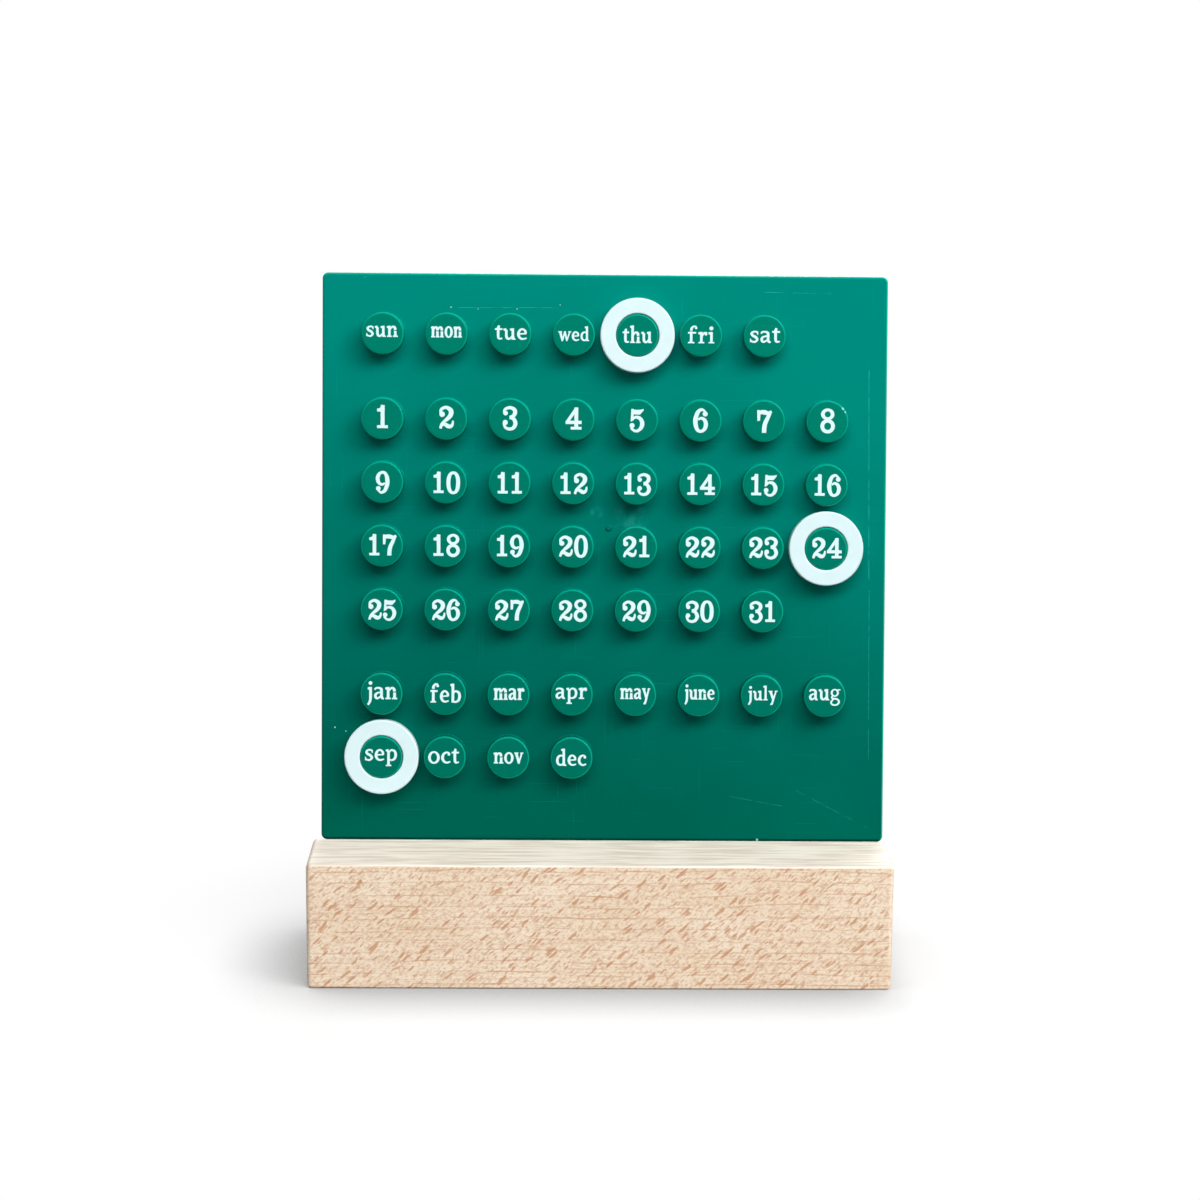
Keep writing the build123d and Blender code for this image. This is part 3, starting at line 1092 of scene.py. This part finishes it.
def digit_tree():
    """Puts each point's own digit on it, turned to face out of the panel."""
    tree = bpy.data.node_groups.new("date_digits", "GeometryNodeTree")
    inputs = {
        "Points": "Geometry", "Digits": "Collection", "Turn": "Vector", "Number size": "Float",
        "Ink": "Material",
    }
    for name, kind in inputs.items():
        tree.interface.new_socket(name, in_out="INPUT", socket_type=f"NodeSocket{kind}")
    tree.interface.new_socket("Labels", in_out="OUTPUT", socket_type="NodeSocketGeometry")

    def add(kind, settings=(), sockets=(), output=0):
        """A node with its settings and its sockets' values or links. Gives one of its outputs."""
        node = tree.nodes.new(kind)
        for key, value in dict(settings).items():
            setattr(node, key, value)
        for key, value in dict(sockets).items():
            if isinstance(value, bpy.types.NodeSocket):
                tree.links.new(value, node.inputs[key])
            else:
                node.inputs[key].default_value = value
        return node.outputs[output] if len(node.outputs) else None

    given = tree.nodes.new("NodeGroupInput").outputs
    digit = add("GeometryNodeInputNamedAttribute", {"data_type": "INT"}, {"Name": "digit"})
    size = add("GeometryNodeInputNamedAttribute", {"data_type": "FLOAT"}, {"Name": "size"})
    size = add("ShaderNodeMath", {"operation": "MULTIPLY"}, {0: size, 1: given["Number size"]})
    shapes = add("GeometryNodeCollectionInfo", (), {
        "Collection": given["Digits"], "Separate Children": True, "Reset Children": True,
    })
    turn = add("FunctionNodeEulerToRotation", (), {0: given["Turn"]})
    placed = add("GeometryNodeInstanceOnPoints", (), {
        "Points": given["Points"], "Instance": shapes, "Pick Instance": True, "Instance Index": digit,
        "Rotation": turn, "Scale": size,
    })
    joined = add("GeometryNodeRealizeInstances", (), {0: placed})
    inked = add("GeometryNodeSetMaterial", (), {"Geometry": joined, "Material": given["Ink"]})
    add("NodeGroupOutput", (), {0: inked})
    return tree


def seen_white(f):
    """1 for rays that see the background straight, in a gloss or through glass."""
    rays = ("Is Camera Ray", "Is Glossy Ray", "Is Transmission Ray")
    return strongest(f.add("ShaderNodeLightPath", output=ray) for ray in rays)


def set_floor(colour):
    """A wide floor that keeps the object's shadow, has painted shade round the block's foot, and fades to
    white away from it.
    """
    turns = ((-1, -1), (1, -1), (1, 1), (-1, 1))
    corners = [(x * FLOOR_HALF, y * FLOOR_HALF, 0) for x, y in turns]
    floor = plain_mesh("studio_floor", corners, [(0, 1, 2, 3)])
    f = Finish("studio_floor")
    x, y, _ = f.split(f.spot())
    away = ((x * x + y * y) ** 0.5).rise(*FLOOR_FADE)
    white = f.add("ShaderNodeEmission", (), {"Color": (1, 1, 1, 1), "Strength": 1.0})
    lift = f.add("ShaderNodeEmission", (), {"Color": (1, 1, 1, 1), "Strength": FLOOR_LIFT})
    matt = f.add("ShaderNodeBsdfDiffuse", (), {"Color": (*colour, 1)})
    faint = f.add("ShaderNodeBsdfDiffuse", (), {"Color": [c * FLOOR_SHADE for c in colour] + [1]})
    near = f.add("ShaderNodeAddShader", (), {0: lift, 1: faint})
    # With no first shader, the mix is black where the block's foot closes the floor in: a painted contact
    # shade, faded out to the right of the block.
    open_floor = f.add("ShaderNodeAmbientOcclusion", {"samples": 4}, {"Distance": CONTACT_REACH}, "AO")
    near = f.add("ShaderNodeMixShader", (), {0: open_floor.most(x.rise(*CONTACT_FADE) * 0.9), 2: near})
    seen = f.add("ShaderNodeMixShader", (), {0: away, 1: near, 2: white})
    whole = f.add("ShaderNodeMixShader", (), {0: seen_white(f), 1: matt, 2: seen})
    f.add("ShaderNodeOutputMaterial", (), {"Surface": whole})
    floor.data.materials.append(f.material)


def set_lights():
    """A faint even surround and soft lamps, of which the widest is in front and above."""
    world = bpy.data.worlds.new("studio")
    bpy.context.scene.world = world
    world.use_nodes = True
    f = Finish("studio", world.node_tree)
    even = f.add("ShaderNodeBackground", (), {"Color": (1, 1, 1, 1), "Strength": WORLD_LEVEL})
    white = f.add("ShaderNodeBackground", (), {"Color": (1, 1, 1, 1), "Strength": 1.0})
    f.add("ShaderNodeOutputWorld", (), {
        "Surface": f.add("ShaderNodeMixShader", (), {0: seen_white(f), 1: even, 2: white}),
    })
    for name, (place, size, power, aim_height) in LAMPS.items():
        light = bpy.data.lights.new(name, "AREA")
        light.shape = "RECTANGLE"
        light.size, light.size_y = size
        light.energy = power
        aim = Vector((0, 0, aim_height)) - Vector(place)
        lamp = bpy.data.objects.new(name, light)
        lamp.location = place
        lamp.rotation_euler = aim.to_track_quat("-Z", "Y").to_euler()
        bpy.context.scene.collection.objects.link(lamp)


def set_camera():
    """A long lens in front, a little above the panel's top."""
    lens = bpy.data.cameras.new("camera")
    lens.sensor_width = CAMERA_SENSOR
    lens.lens = CAMERA_LENS
    lens.shift_x, lens.shift_y = CAMERA_SHIFT
    lens.clip_end = CAMERA_REACH
    camera = bpy.data.objects.new("camera", lens)
    camera.location = CAMERA_PLACE
    camera.rotation_euler = [math.radians(angle) for angle in CAMERA_TURN]
    bpy.context.scene.collection.objects.link(camera)
    bpy.context.scene.camera = camera


def register():
    for cls in CLASSES:
        bpy.utils.register_class(cls)
    bpy.types.Scene.calendar_colours = PointerProperty(type=CalendarColours)
    bpy.types.Scene.calendar_sizes = PointerProperty(type=CalendarSizes)


def unregister():
    del bpy.types.Scene.calendar_sizes
    del bpy.types.Scene.calendar_colours
    for cls in reversed(CLASSES):
        bpy.utils.unregister_class(cls)


def main():
    register()
    bpy.ops.calendar.block()
    bpy.ops.calendar.panel()
    bpy.ops.calendar.rings()
    bpy.ops.calendar.words()
    bpy.ops.calendar.dates()
    bpy.ops.calendar.studio()


if __name__ == "__main__":
    main()
